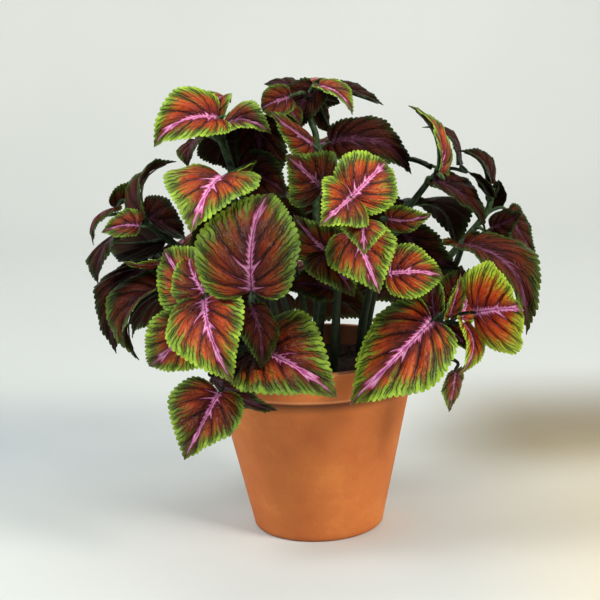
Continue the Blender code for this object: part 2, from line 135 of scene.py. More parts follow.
# Relief of a blade, as parts of its length: grooves on the veins, quilting between them, waves at the edge
VEIN_SWEEP = 0.17
VEIN_GROOVE = 0.020
QUILT_RISE = 0.008
RIB_GROOVE = 0.008
RIB_GROOVE_WIDTH = 0.022
WAVE_HEIGHT = 0.014
WAVES = 3.2
RUFFLE_HEIGHT = 0.008
RUFFLES = 7.0
END_FADE = 2.5
WAVE_SEED = 5

# Half the thickness of a blade, and how much of it is lost at the edge
HALF_THICK = 0.00032
EDGE_THIN = 0.55

# How finely the round pieces and the curves are divided
POT_FINE = 128
SOIL_FINE = 96
SOIL_RINGS = 26
STEM_FINE = 10
STALK_FINE = 8
STEM_STEPS = 8
STALK_STEPS = 6
DRAIN_FINE = 32

# Edges sharper than this stay sharp, in degrees
SHOOT_SHARP = 55
POT_SHARP = 35
SOIL_SHARP = 50

# Slots of a shoot's mesh: its three materials
UPPER, UNDER, STEM = 0, 1, 2

# Camera, found from the pot's outline in the photo; angles in degrees
FOCAL_MM = 90
SENSOR_MM = 36
CAMERA_PLACE = (0, -1.084, 0.412)
CAMERA_YAW = -0.44
CAMERA_DOWN = 12.5
CAMERA_ROLL = -2.15
CAMERA_CLIP = (0.05, 50)

# Stage: a floor that curves up into a backdrop, the lights and the sky
FLOOR_FRONT = -7.0
FLOOR_BACK = 1.2
FLOOR_HALF_WIDTH = 6.0
BACKDROP_ROUND = 1.2
BACKDROP_TOP = 3.4
# A light is (name, place, looks at, size, power, colour).
LIGHTS = [
    ("key", (1.2, -1.0, 1.2), (0, 0, 0.18), 0.6, 32, (1.0, 0.95, 0.87)),
    ("left", (-1.05, -0.6, 1.3), (0, 0, 0.22), 0.6, 19, (0.95, 0.98, 1.0)),
    ("back", (0.0, 0.7, 2.4), (0.0, 2.2, 0.5), 1.6, 25, (0.97, 1.0, 0.99)),
]
SKY_COLOUR = (0.86, 0.88, 0.88, 1)
SKY_STRENGTH = 0.24

# Each shoot in millimetres: its hole in the soil, the points its stem passes, and its leaves.
# A leaf is (blade base, tip, upper face towards, half width and arch as parts of its length, fold in degrees,
# tone and shade). The tone is how bright the leaf is in the photo, from 0 for near black to 1.2 for yellow:
# partly the leaf's own colour, and partly painted light and shade, darker for leaves that lie in shadow.
SHOOTS = {
    "shoot_top_left": (
        (-22, 6),
        [(-27, 8, 160), (-42, 4, 230), (-58, -2, 282), (-65, -6, 304)],
        [
            ((-62, -22, 310), (-107, -28, 292), (-2, -8, 6), 0.51, 0.30, 30, 0.92),
            ((-58, 6, 301), (-24, -15, 297), (-3, -4, 9), 0.51, 0.22, 25, 0.85),
            ((-65, -15, 307), (-53, 6, 318), (-1, -4, 9), 0.49, 0.44, 30, 0.75),
            ((-79, 0, 293), (-84, -21, 276), (-6, -4, 7), 0.48, 0.12, 20, 0.35),
            ((-59, 10, 295), (-53, 48, 260), (-1, 7, 7), 0.47, 0.04, 5, 0.2),
            ((-36, 9, 304), (-29, 34, 260), (1, -9, -5), 0.38, 0.36, 20, 0.05),
        ],
    ),
    "shoot_upper_left": (
        (-30, -14),
        [(-36, -20, 165), (-46, -32, 225), (-56, -46, 268)],
        [
            ((-59, -48, 272), (-78, -106, 243), (0, -4, 9), 0.51, 0.12, 20, 0.82),
            ((-57, -35, 269), (-35, -17, 279), (7, -4, -7), 0.53, 0.00, 35, 0.85),
            ((-49, -5, 270), (-16, 6, 249), (6, -8, 2), 0.51, 0.24, 15, 0.0),
        ],
    ),
    "shoot_front_left": (
        (-16, -44),
        [(-20, -54, 145), (-30, -72, 170), (-38, -86, 192)],
        [
            ((-39, -116, 205), (-25, -74, 263), (-3, -7, 7), 0.54, 0.20, 25, 0.55),
            ((-41, -102, 191), (-35, -118, 151), (7, -6, 4), 0.48, 0.10, 10, 0.22),
            ((-38, -88, 156), (15, -128, 133), (-2, -7, 7), 0.52, 0.18, 25, 0.62),
        ],
    ),
    "shoot_left": (
        (-40, -34),
        [(-48, -46, 145), (-60, -70, 175), (-71, -92, 196)],
        [
            ((-72, -94, 195), (-54, -124, 145), (-4, -8, 5), 0.51, 0.18, 20, 0.92),
            ((-72, -86, 198), (-83, -52, 223), (-8, -4, 5), 0.49, 0.12, 30, 0.95),
            ((-75, -71, 192), (-103, -36, 220), (-6, -7, 4), 0.49, 0.12, 15, 0.9),
            ((-80, -84, 178), (-115, -71, 144), (-1, -10, -2), 0.49, 0.14, 20, 0.85),
        ],
    ),
    "shoot_low_left": (
        (-36, -46),
        [(-40, -52, 146), (-52, -66, 152), (-63, -80, 142)],
        [
            ((-66, -82, 126), (-91, -103, 85), (-2, -8, 6), 0.58, 0.02, 30, 0.72),
            ((-70, -76, 136), (-26, -89, 114), (-5, -7, -6), 0.40, 0.10, 0, 0.3),
        ],
    ),
    "shoot_top": (
        (2, 4),
        [(4, 6, 170), (6, 4, 240), (8, -4, 288), (4, -2, 305), (2, 0, 322)],
        [
            ((-10, -21, 323), (-30, -11, 314), (-6, -8, 0), 0.50, 0.36, 15, 0.5),
            ((-4, 16, 324), (-29, 28, 329), (0, -4, 9), 0.48, 0.14, 5, 0.1),
            ((0, 28, 326), (17, 38, 330), (0, -2, 10), 0.47, 0.16, 0, 1.1),
            ((11, -4, 328), (34, -12, 308), (5, -4, 8), 0.49, 0.18, 25, 0.8),
            ((28, 16, 325), (58, 22, 311), (4, -2, 9), 0.44, 0.02, 25, 0.0),
            ((-16, -8, 320), (-3, -23, 302), (5, -3, 8), 0.44, 0.04, 20, 0.4),
            ((10, 2, 313), (19, 11, 293), (-8, 6, -1), 0.44, 0.02, 15, 0.2),
            ((5, -31, 290), (-24, -47, 316), (7, -4, 6), 0.47, -0.02, 0, 0.5),
            ((8, 15, 284), (40, 4, 282), (-2, -3, 9), 0.48, 0.10, 5, 1.0),
            ((18, -4, 288), (76, 1, 262), (3, -7, 6), 0.35, 0.32, 15, 0.1),
            ((9, 0, 326), (-5, 8, 296), (-5, -8, 2), 0.51, 0.32, 25, 0.0),
            ((6, 16, 321), (27, 40, 312), (-6, 7, 2), 0.44, 0.06, 15, 0.1),
        ],
    ),
    "shoot_upper_front": (
        (14, -40),
        [(16, -48, 160), (22, -64, 215), (28, -86, 248), (30, -94, 259)],
        [
            ((29, -87, 260), (55, -50, 278), (5, -6, 6), 0.50, 0.14, 20, 1.0),
            ((28, -101, 262), (7, -137, 250), (6, -5, 6), 0.50, 0.12, 15, 0.95),
            ((35, -106, 246), (35, -133, 229), (1, -6, 8), 0.48, 0.12, 15, 0.9),
            ((30, -90, 237), (45, -122, 201), (-1, -8, 6), 0.50, 0.12, 5, 0.85),
            ((10, -58, 264), (-14, -89, 291), (6, -8, -4), 0.49, 0.10, 10, 0.5),
        ],
    ),
    "shoot_middle": (
        (4, -28),
        [(6, -36, 160), (10, -52, 190), (13, -68, 214)],
        [
            ((15, -59, 217), (-10, -70, 247), (0, -9, -4), 0.48, 0.12, 10, 0.6),
            ((13, -79, 221), (29, -102, 195), (-3, -7, 7), 0.55, 0.30, 30, 0.5),
            ((13, -73, 195), (-18, -75, 196), (0, -7, 7), 0.49, 0.20, 20, 0.2),
        ],
    ),
    "shoot_right_front": (
        (34, -24),
        [(38, -30, 165), (48, -48, 210), (58, -50, 235)],
        [
            ((55, -62, 241), (85, -63, 243), (0, -8, -6), 0.48, 0.12, 10, 0.7),
            ((67, -42, 227), (106, -45, 200), (-3, -8, -6), 0.48, 0.12, 10, 0.0),
            ((53, -82, 206), (92, -68, 200), (4, -8, 5), 0.50, 0.14, 20, 1.0),
        ],
    ),
    "shoot_low_right": (
        (42, -40),
        [(54, -54, 145), (74, -72, 162), (98, -82, 171)],
        [
            ((81, -99, 176), (24, -104, 121), (-5, -7, 6), 0.48, 0.00, 10, 0.97),
            ((112, -75, 175), (138, -130, 188), (-9, -4, -2), 0.55, -0.10, 5, 1.15),
            ((104, -64, 169), (111, -53, 202), (5, -8, 1), 0.45, 0.10, 10, 1.2),
            ((94, -75, 173), (103, -75, 202), (8, -6, -2), 0.42, 0.02, 25, 1.05),
            ((103, -85, 170), (98, -102, 138), (8, -5, 3), 0.41, 0.26, 20, 1.1),
            ((92, -79, 166), (106, -86, 151), (2, -6, 8), 0.48, 0.12, 15, 1.0),
            ((97, -85, 136), (93, -81, 106), (8, -6, -2), 0.47, 0.02, 10, 0.6),
            ((85, -84, 174), (87, -57, 197), (-8, -3, 5), 0.47, 0.06, 25, 1.0),
        ],
    ),
    "shoot_right": (
        (52, -12),
        [(80, -22, 148), (94, -31, 164), (94, -32, 182), (104, -30, 200), (109, -26, 211)],
        [
            ((109, -30, 213), (149, -68, 156), (5, -5, 7), 0.38, 0.28, 25, 0.35),
            ((98, -46, 176), (108, -32, 200), (4, -9, 3), 0.49, 0.14, 15, 0.8),
        ],
    ),
    "shoot_far_right": (
        (54, 8),
        [(72, 8, 165), (108, 4, 205), (130, 0, 232), (135, 1, 250)],
        [
            ((134, 11, 237), (139, -1, 256), (9, 4, 2), 0.43, 0.20, 20, 0.0),
            ((133, -9, 245), (115, -8, 264), (7, 3, 6), 0.48, 0.12, 10, 0.15),
            ((132, -4, 254), (110, -1, 278), (7, -3, 7), 0.48, 0.24, 25, 0.1),
            ((146, 3, 230), (167, 8, 195), (7, -6, 5), 0.47, 0.00, 15, 0.3),
            ((132, -10, 222), (152, -26, 235), (-8, -4, 4), 0.49, -0.06, 5, 0.1),
        ],
    ),
    "shoot_upper_right": (
        (38, 4),
        [(46, 6, 170), (66, 0, 225), (84, -4, 252), (96, 0, 264)],
        [
            ((95, -22, 267), (74, -10, 313), (9, -2, 5), 0.46, 0.18, 20, 1.0),
            ((113, 18, 266), (86, 18, 294), (7, -2, 7), 0.46, 0.28, 10, 0.15),
            ((91, -17, 259), (127, -20, 221), (7, -3, 7), 0.50, 0.14, 20, 0.05),
            ((75, 10, 239), (111, 32, 198), (5, 5, 7), 0.58, 0.30, 15, 0.0),
            ((92, 12, 266), (60, 28, 268), (0, 3, 10), 0.44, 0.12, 10, 0.3),
        ],
    ),
    "shoot_far_left": (
        (-50, 4),
        [(-62, 6, 165), (-88, 4, 205), (-112, 0, 228), (-122, -4, 235)],
        [
            ((-117, -25, 240), (-94, -2, 278), (-8, -1, 6), 0.50, 0.30, 25, 0.3),
            ((-143, 19, 243), (-116, 27, 270), (8, -2, -6), 0.59, 0.12, -10, 0.5),
            ((-132, 1, 229), (-152, -35, 197), (-7, -2, 7), 0.56, 0.18, 10, 0.0),
            ((-140, 6, 245), (-157, -9, 220), (-7, -2, 6), 0.38, 0.28, -5, 0.4),
            ((-119, -6, 238), (-92, 17, 216), (8, -3, 6), 0.54, 0.08, 35, 0.0),
            ((-106, 8, 218), (-155, 42, 212), (3, 4, -8), 0.46, 0.04, 0, 0.0),
            ((-120, -30, 236), (-149, -20, 231), (-4, -5, 8), 0.49, 0.10, 25, 0.7),
        ],
    ),
    "shoot_outer_left": (
        (-50, -16),
        [(-64, -18, 155), (-88, -20, 180), (-102, -22, 196)],
        [
            ((-118, 11, 200), (-145, -13, 139), (-5, -6, 5), 0.39, 0.30, 10, 0.05),
            ((-106, -27, 190), (-126, -34, 139), (-8, -4, 4), 0.52, 0.34, 35, 0.4),
            ((-101, -23, 209), (-134, -33, 212), (0, -4, -9), 0.44, 0.08, 10, 1.0),
        ],
    ),
}

# Shoots of the far side grow by rule: hole, where the stem ends, the largest leaf's length, leaf pairs.
# Their stems clear the rim at FAR_CLEAR, and each pair of leaves sits FAR_PAIR_DROP below the next.
FAR_SHOOTS = {
    "shoot_back_left": ((-36, 28), (-105, 74, 197), 56, 3),
    "shoot_back_top_left": ((-14, 26), (-45, 47, 244), 56, 2),
    "shoot_back_middle": ((-4, 48), (-14, 104, 184), 58, 3),
    "shoot_back_top_right": ((18, 24), (28, 69, 244), 54, 2),
    "shoot_back_right": ((36, 36), (78, 102, 191), 56, 3),
}
FAR_CLEAR = 152
FAR_PAIR_DROP = 14
FAR_STALK = 9
FAR_WIDTH = 0.48
FAR_ARCH = 0.16
FAR_FOLD = 12
FAR_SHRINK = 0.2
FAR_TURN = 12
FAR_LEAN = (-34, -22)
FAR_LIFT = 16
FAR_TONE = 0.45
FAR_SEED = 30

# Every leaf's tone is varied by up to this
TONE_SPREAD = 0.02

# Colours are written as six hex digits. A ramp's stops are (place, colour).
# On the upper face the place goes from 0 at the margin inwards to 1 at the midrib.
BRIGHT_RAMP = [(0.0, "a6c83c"), (0.1, "8fb030"), (0.19, "6f8a24"), (0.27, "94791e"), (0.36, "b3561a")]
BRIGHT_RAMP += [(0.54, "a93d12"), (0.76, "7e2411"), (1.0, "521315")]
BROWN_RAMP = [(0.0, "7f9e34"), (0.16, "4f6c20"), (0.27, "543a12"), (0.5, "6e2c10"), (1.0, "42120f")]
# Dull leaves take this ramp, and so do leaves painted dark as shade where they lie in shadow.
DULL_AND_SHADED_RAMP = [(0.0, "56702c"), (0.08, "435822"), (0.18, "403616"), (0.32, "6a2e11"), (0.6, "5a1e0e")]
DULL_AND_SHADED_RAMP += [(0.8, "3e120e"), (1.0, "280a0d")]
GOLD_RAMP = [(0.0, "bcd644"), (0.18, "b0ca38"), (0.27, "c8b42e"), (0.37, "d47c26"), (0.56, "c8481a")]
GOLD_RAMP += [(1.0, "a02f20")]
# Dark veins: their own colour, deepened as painted shade in the sunk veins and the wrinkles.
VEIN_COLOUR_AND_SHADE_RAMP = [(0.0, "4c6622"), (0.08, "2f3f14"), (0.2, "241a09"), (0.5, "210806"), (1.0, "20070b")]
GREEN_FLAME = "75862c"
RIB_SHADE = "3c0d12"
# Across the pink of the midrib, from its middle line to its edge
PINK_RAMP = [(0.0, "a8417f"), (0.13, "c4609f"), (0.3, "f0b2d6"), (0.55, "df86b6"), (0.85, "b64c7e")]
PINK_RAMP += [(1.0, "7c2846")]
# The pink of dull leaves, and of leaves painted dark as shade.
PINK_DULL_AND_SHADED = "54202c"
UNDER_RAMP = [(0.0, "4c6026"), (0.08, "36421a"), (0.2, "38220f"), (0.6, "36170c"), (1.0, "2a0d0c")]
UNDER_VEIN = "4a2a20"
UNDER_RIB = "643a3a"
STEM_RAMP = [(0.25, "1e2e1a"), (0.5, "32482a"), (0.75, "566c44")]
STEM_PURPLE = "4a2c34"
STEM_SHADE = "14190e"
CLAY_RAMP = [(0.3, "c46a33"), (0.5, "cd7439"), (0.7, "d8813f")]
CLAY_PIT = "8f4a26"
CLAY_HIGHLIGHT = "e0a27a"
CLAY_FOOT_SHADE = "7c4020"
CLAY_INSIDE_SHADE = "241009"
SOIL_RAMP = [(0.3, "17100c"), (0.5, "2a1d15"), (0.7, "3d2c20")]
SOIL_SPECK = "7b6a55"
FLOOR_RAMP = [(0.3, "e4e6e2"), (0.7, "eaebe7")]
FLOOR_SHADE_GREY = "ccd0cd"
FLOOR_SHADOW_BROWN = "85785f"
FLOOR_SHADOW_BLUE = "b9c1c9"
FLOOR_WARM_LIGHT = "dccba6"


def srgb(code):
    """A colour written as six hex digits, as linear red, green and blue."""
    parts = [int(code[k : k + 2], 16) / 255 for k in (0, 2, 4)]
    return tuple(c / 12.92 if c <= 0.04045 else ((c + 0.055) / 1.055) ** 2.4 for c in parts)


class Graph:
    """A material's nodes, with short names for the ones used here."""

    def __init__(self, name):
        self.mat = bpy.data.materials.new(name)
        self.mat.use_nodes = True
        self.tree = self.mat.node_tree
        self.shader = self.tree.nodes["Principled BSDF"]

    def put(self, socket, value):
        """Joins a socket to another, or sets its number or colour."""
        if isinstance(value, bpy.types.NodeSocket):
            self.tree.links.new(value, socket)
        elif isinstance(value, tuple) and socket.type == "RGBA":
            socket.default_value = (*value, 1)
        else:
            socket.default_value = value

    def math(self, operation, *values):
        """One operation on one or two numbers."""
        node = self.tree.nodes.new("ShaderNodeMath")
        node.operation = operation
        for socket, value in zip(node.inputs, values):
            self.put(socket, value)
        return node.outputs[0]

    def add(self, first, second):
        return self.math("ADD", first, second)

    def sub(self, first, second):
        return self.math("SUBTRACT", first, second)

    def mul(self, first, second):
        return self.math("MULTIPLY", first, second)

    def most(self, first, second):
        return self.math("MAXIMUM", first, second)

    def smooth(self, value, low, high, start=0.0, end=1.0):
        """A soft step from start to end while value goes from low to high."""
        node = self.tree.nodes.new("ShaderNodeMapRange")
        node.interpolation_type = "SMOOTHSTEP"
        for k, item in enumerate((value, low, high, start, end)):
            self.put(node.inputs[k], item)
        return node.outputs[0]

    def wave(self, value, times):
        """Lines at the half steps of value times times: nought on a line, and one midway between two."""
        part = self.math("FRACT", self.mul(value, times))
        return self.mul(self.math("ABSOLUTE", self.sub(part, 0.5)), 2)

    def mix(self, part, first, second):
        """The first colour, with as much of the second as part says; its colour sockets are 6, 7 and 2."""
        node = self.tree.nodes.new("ShaderNodeMix")
        node.data_type = "RGBA"
        self.put(node.inputs["Factor"], part)
        self.put(node.inputs[6], first)
        self.put(node.inputs[7], second)
        return node.outputs[2]

    def ramp(self, value, stops):
        """The colour that a ramp has at a place."""
        node = self.tree.nodes.new("ShaderNodeValToRGB")
        node.color_ramp.interpolation = "EASE"
        marks = node.color_ramp.elements
        while len(marks) < len(stops):
            marks.new(0.5)
        for mark, (place, colour) in zip(marks, stops):
            mark.position = place
            mark.color = (*srgb(colour), 1)
        self.put(node.inputs[0], value)
        return node.outputs[0]

    def split(self, vector):
        """A vector's three numbers."""
        node = self.tree.nodes.new("ShaderNodeSeparateXYZ")
        self.put(node.inputs[0], vector)
        return list(node.outputs)

    def uv(self, name):
        """The two numbers that a map keeps."""
        node = self.tree.nodes.new("ShaderNodeUVMap")
        node.uv_map = name
        return self.split(node.outputs[0])[:2]

    def place(self):
        """Where a point is on its object."""
        return self.tree.nodes.new("ShaderNodeTexCoord").outputs["Object"]

    def vector(self, *values):
        """Three numbers as a vector."""
        node = self.tree.nodes.new("ShaderNodeCombineXYZ")
        for socket, value in zip(node.inputs, values):
            self.put(socket, value)
        return node.outputs[0]

    def noise(self, place, scale, detail, rough=0.5):
        """Soft noise from 0 to 1."""
        node = self.tree.nodes.new("ShaderNodeTexNoise")
        self.put(node.inputs["Vector"], place)
        node.inputs["Scale"].default_value = scale
        node.inputs["Detail"].default_value = detail
        node.inputs["Roughness"].default_value = rough
        return node.outputs[0]

    def swing(self, place, scale, detail, rough=0.5):
        """The same noise around nought."""
        return self.sub(self.noise(place, scale, detail, rough), 0.5)

    def level(self, colour, value):
        """The colour made darker or lighter."""
        node = self.tree.nodes.new("ShaderNodeHueSaturation")
        self.put(node.inputs["Value"], value)
        self.put(node.inputs["Color"], colour)
        return node.outputs[0]

    def bump(self, height, distance, strength):
        """Small relief."""
        node = self.tree.nodes.new("ShaderNodeBump")
        node.inputs["Strength"].default_value = strength
        node.inputs["Distance"].default_value = distance
        self.put(node.inputs["Height"], height)
        self.put(self.shader.inputs["Normal"], node.outputs[0])

    def finish(self, colour, rough, specular):
        """Joins what was made to the shader."""
        self.put(self.shader.inputs["Base Color"], colour)
        self.put(self.shader.inputs["Roughness"], rough)
        self.put(self.shader.inputs["Specular IOR Level"], specular)
        return self.mat


def leaf_fields(g):
    """What both faces of a leaf read: places along and across its veins, its tone with painted light and
    shade, and noise.
    """
    veins, across = g.uv("vein")
    middle, edge = g.uv("dist")
    along, tone = g.uv("leaf")
    place = g.place()
    out = g.math("ABSOLUTE", across)
    bend = g.mul(g.swing(place, 120, 2), 0.5)
    lines = g.add(veins, g.mul(bend, out))
    turn = g.mul(tone, 160)
    flames = g.vector(g.mul(lines, 3.0), g.mul(across, 1.5), turn)
    wrinkles = g.vector(g.mul(lines, 6.0), g.mul(across, 11.0), turn)
    return SimpleNamespace(
        place=place, along=along, tone=tone, out=out, middle=middle, edge=edge,
        main=g.wave(lines, 1),
        side=g.wave(lines, FORKS),
        flame=g.swing(flames, 1.0, 3, 0.55),
        wrinkle=g.swing(wrinkles, 1.0, 2),
        fine=g.swing(place, 620, 3),
    )


def leaf_flesh(g, f, blotch):
    """The colour between the veins: a green margin and flames inwards, by the leaf's tone, which also paints
    light and shade.
    """
    inward = g.add(f.edge, g.add(g.mul(f.flame, 0.75), g.mul(blotch, 0.22)))
    inward = g.add(inward, g.add(g.smooth(f.side, 0.0, 0.6, 0.09, 0.0), g.mul(f.fine, 0.07)))
    brown = g.smooth(g.noise(f.place, 48, 3), 0.46, 0.62, 0.0, 0.8)
    bright = g.mix(brown, g.ramp(inward, BRIGHT_RAMP), g.ramp(inward, BROWN_RAMP))
    colour = g.mix(g.smooth(f.tone, 0.05, 0.95), g.ramp(inward, DULL_AND_SHADED_RAMP), bright)
    colour = g.mix(g.smooth(f.tone, 1.0, 1.12, 0.0, 0.9), colour, g.ramp(inward, GOLD_RAMP))
    green = g.mul(g.smooth(f.flame, -0.04, -0.16), g.smooth(f.edge, 0.8, 0.2, 0.0, 0.75))
    return g.mix(g.mul(green, g.smooth(f.tone, 0.3, 1.0)), colour, srgb(GREEN_FLAME))


def leaf_veins(g, f, forks, colour):
    """Dark side veins and their forks, their own colour deepened by painted shade in their grooves, painted
    shade in the wrinkles between them, and a dark strip along the midrib.
    """
    width = g.smooth(f.out, 0.0, 1.0, 0.5, 0.2)
    main = g.smooth(g.add(f.main, g.mul(f.fine, 0.2)), 0.0, width, 1.0, 0.0)
    main = g.mul(main, g.smooth(f.edge, 0.0, 0.12, 0.4, 1.0))
    side = g.mul(g.smooth(g.add(f.side, g.mul(f.fine, 0.3)), 0.02, 0.42, 0.85, 0.0), forks)
    # Painted shade in the hollows of the wrinkles.
    deep = g.mul(g.smooth(f.wrinkle, 0.04, 0.2, 0.0, 0.55), g.smooth(f.edge, 0.08, 0.28))
    vein_and_crease_shade = g.mul(g.most(main, g.most(side, deep)), g.smooth(f.flame, 0.2, 0.0, 0.6, 1.0))
    colour = g.mix(vein_and_crease_shade, colour, g.ramp(f.edge, VEIN_COLOUR_AND_SHADE_RAMP))
    return g.mix(g.smooth(f.middle, 0.02, 0.15, 0.6, 0.0), colour, srgb(RIB_SHADE))


def leaf_pink(g, f, colour):
    """The pink midrib, widest at the base, with a spike along each vein and a thorn along each fork."""
    left = g.sub(1.0, f.along)
    width = g.mul(g.add(g.mul(left, 0.026), 0.010), g.add(1.0, g.mul(f.flame, 1.6)))
    spike = g.mul(g.smooth(f.main, 0.0, 0.26, 1.0, 0.0), g.add(g.mul(left, 0.13), 0.010))
    spike = g.mul(spike, g.smooth(f.flame, -0.14, 0.12, 0.1, 1.2))
    thorn = g.mul(g.smooth(f.side, 0.0, 0.6, 1.0, 0.0), g.add(g.mul(left, 0.020), 0.006))
    rim = g.add(width, g.add(g.add(spike, thorn), g.mul(f.fine, 0.012)))
    rim = g.mul(rim, g.smooth(f.along, 0.84, 0.96, 1.15, 0.1))
    part = g.math("DIVIDE", f.middle, g.most(rim, 0.004))
    # Dull leaves, and leaves painted dark as shade, get a duller pink.
    dull_and_shaded = g.smooth(f.tone, 0.2, 0.75, 0.85, 0.0)
    pink = g.mix(dull_and_shaded, g.ramp(part, PINK_RAMP), srgb(PINK_DULL_AND_SHADED))
    return g.mix(g.smooth(part, 0.84, 1.04, 1.0, 0.0), colour, pink)


def upper_leaf():
    """The upper face: pink midrib with spikes, dark veins, red and orange flames, green margin."""
    g = Graph("leaf_upper")
    f = leaf_fields(g)
    blotch = g.swing(f.place, 60, 2)
    forks = g.mul(g.smooth(f.out, 0.4, 0.75), g.smooth(f.edge, 0.02, 0.14, 0.25, 1.0))
    colour = leaf_pink(g, f, leaf_veins(g, f, forks, leaf_flesh(g, f, blotch)))
    # Painted light and shade: the tone makes a leaf in shadow darker and a lit leaf lighter; the blotches
    # vary it at random.
    bright = g.mul(g.smooth(f.tone, 0.0, 1.1, 0.34, 1.12), g.add(1.0, g.mul(blotch, 0.5)))
    puff = g.math("POWER", g.math("MINIMUM", g.add(f.main, 0.02), 0.9), 0.6)
    height = g.add(g.mul(puff, 0.8), g.mul(g.smooth(f.side, 0.0, 0.5), g.mul(forks, 0.5)))
    height = g.sub(height, g.sub(g.mul(f.wrinkle, 1.1), g.mul(f.fine, 0.16)))
    g.bump(height, 0.0016, 1.0)
    rough = g.add(0.38, g.mul(f.fine, 0.12))
    return g.finish(g.level(colour, bright), rough, g.smooth(f.tone, 0.1, 0.8, 0.08, 0.24))


def under_leaf():
    """The underside: dark maroon with paler veins and a green edge."""
    g = Graph("leaf_under")
    f = leaf_fields(g)
    inward = g.add(f.edge, g.add(g.mul(f.flame, 0.35), g.mul(f.fine, 0.1)))
    veins = g.most(g.smooth(f.main, 0.02, 0.14, 0.6, 0.0), g.smooth(f.side, 0.02, 0.2, 0.25, 0.0))
    colour = g.mix(veins, g.ramp(inward, UNDER_RAMP), srgb(UNDER_VEIN))
    colour = g.mix(g.smooth(f.middle, 0.006, 0.022, 0.75, 0.0), colour, srgb(UNDER_RIB))
    # Painted light and shade: the tone darkens the underside of a leaf in shadow and lightens that of a lit
    # leaf.
    colour = g.level(colour, g.smooth(f.tone, 0.0, 1.0, 0.5, 1.3))
    height = g.add(g.smooth(f.main, 0.0, 0.3, 0.8, 0.0), g.mul(f.wrinkle, 0.5))
    g.bump(height, 0.0009, 0.9)
    return g.finish(colour, g.add(0.48, g.mul(f.fine, 0.1)), 0.06)


def stem_green():
    """Stems and stalks: grey green with long streaks and a touch of purple, with painted shade low down under
    the leaves.
    """
    g = Graph("stem")
    place = g.place()
    _, _, up = g.split(place)
    streak = g.noise(place, 260, 4)
    patch = g.noise(place, 45, 2)
    colour = g.ramp(streak, STEM_RAMP)
    colour = g.mix(g.smooth(patch, 0.54, 0.76, 0.0, 0.4), colour, srgb(STEM_PURPLE))
    # Painted shade: the stems are darker low down, under the leaves.
    colour = g.mix(g.smooth(up, 0.17, 0.25, 0.75, 0.0), colour, srgb(STEM_SHADE))
    g.bump(streak, 0.0005, 0.6)
    return g.finish(colour, g.add(0.42, g.mul(patch, 0.2)), 0.2)


def terracotta():
    """Fired clay: fine grain, soft mottling, a painted highlight at the band and the lip, and painted shade
    at the foot and inside.
    """
    g = Graph("terracotta")
    place = g.place()
    across, deep, up = g.split(place)
    mottle = g.noise(place, 28, 4, 0.6)
    grain = g.noise(place, 1400, 3, 0.6)
    pits = g.noise(place, 520, 5, 0.65)
    colour = g.mix(g.smooth(pits, 0.3, 0.42, 0.25, 0.0), g.ramp(mottle, CLAY_RAMP), srgb(CLAY_PIT))
    # Painted highlight along the lower edge of the band and along the lip, broken up by the mottling.
    from_band = g.math("ABSOLUTE", g.sub(up, BAND_BOTTOM + 0.0004))
    from_lip = g.math("ABSOLUTE", g.sub(up, POT_HEIGHT - 0.0006))
    band_highlight = g.smooth(from_band, 0.0003, 0.0011, 0.55, 0.0)
    edge_highlight = g.most(band_highlight, g.smooth(from_lip, 0.0004, 0.0016, 0.45, 0.0))
    edge_highlight = g.mul(edge_highlight, g.smooth(mottle, 0.3, 0.55, 0.5, 1.0))
    colour = g.mix(edge_highlight, colour, srgb(CLAY_HIGHLIGHT))
    # Painted shade: the pot darkens towards its foot, where it meets the floor.
    colour = g.mix(g.smooth(up, 0.0, 0.006, 0.35, 0.0), colour, srgb(CLAY_FOOT_SHADE))
    # Painted shade on the inner wall above the soil, where the leaves keep the light off.
    radius = g.math("SQRT", g.add(g.mul(across, across), g.mul(deep, deep)))
    inner = inner_radius(POT_HEIGHT)
    inside_shade = g.smooth(radius, inner, inner + 0.0008, 1.0, 0.0)
    inside_shade = g.mul(inside_shade, g.smooth(up, SOIL_TOP - 0.02, SOIL_TOP - 0.01))
    colour = g.mix(g.mul(inside_shade, 0.85), colour, srgb(CLAY_INSIDE_SHADE))
    g.bump(g.add(g.mul(grain, 0.5), g.mul(pits, 0.8)), 0.0006, 0.55)
    return g.finish(colour, g.add(0.62, g.mul(pits, 0.2)), 0.3)


def earth():
    """Dark potting soil with paler crumbs."""
    g = Graph("soil")
    place = g.place()
    lumps = g.noise(place, 160, 5, 0.65)
    specks = g.smooth(g.noise(place, 620, 2), 0.68, 0.74, 0.0, 0.7)
    colour = g.mix(specks, g.ramp(lumps, SOIL_RAMP), srgb(SOIL_SPECK))
    g.bump(lumps, 0.003, 0.9)
    return g.finish(colour, 0.92, 0.2)


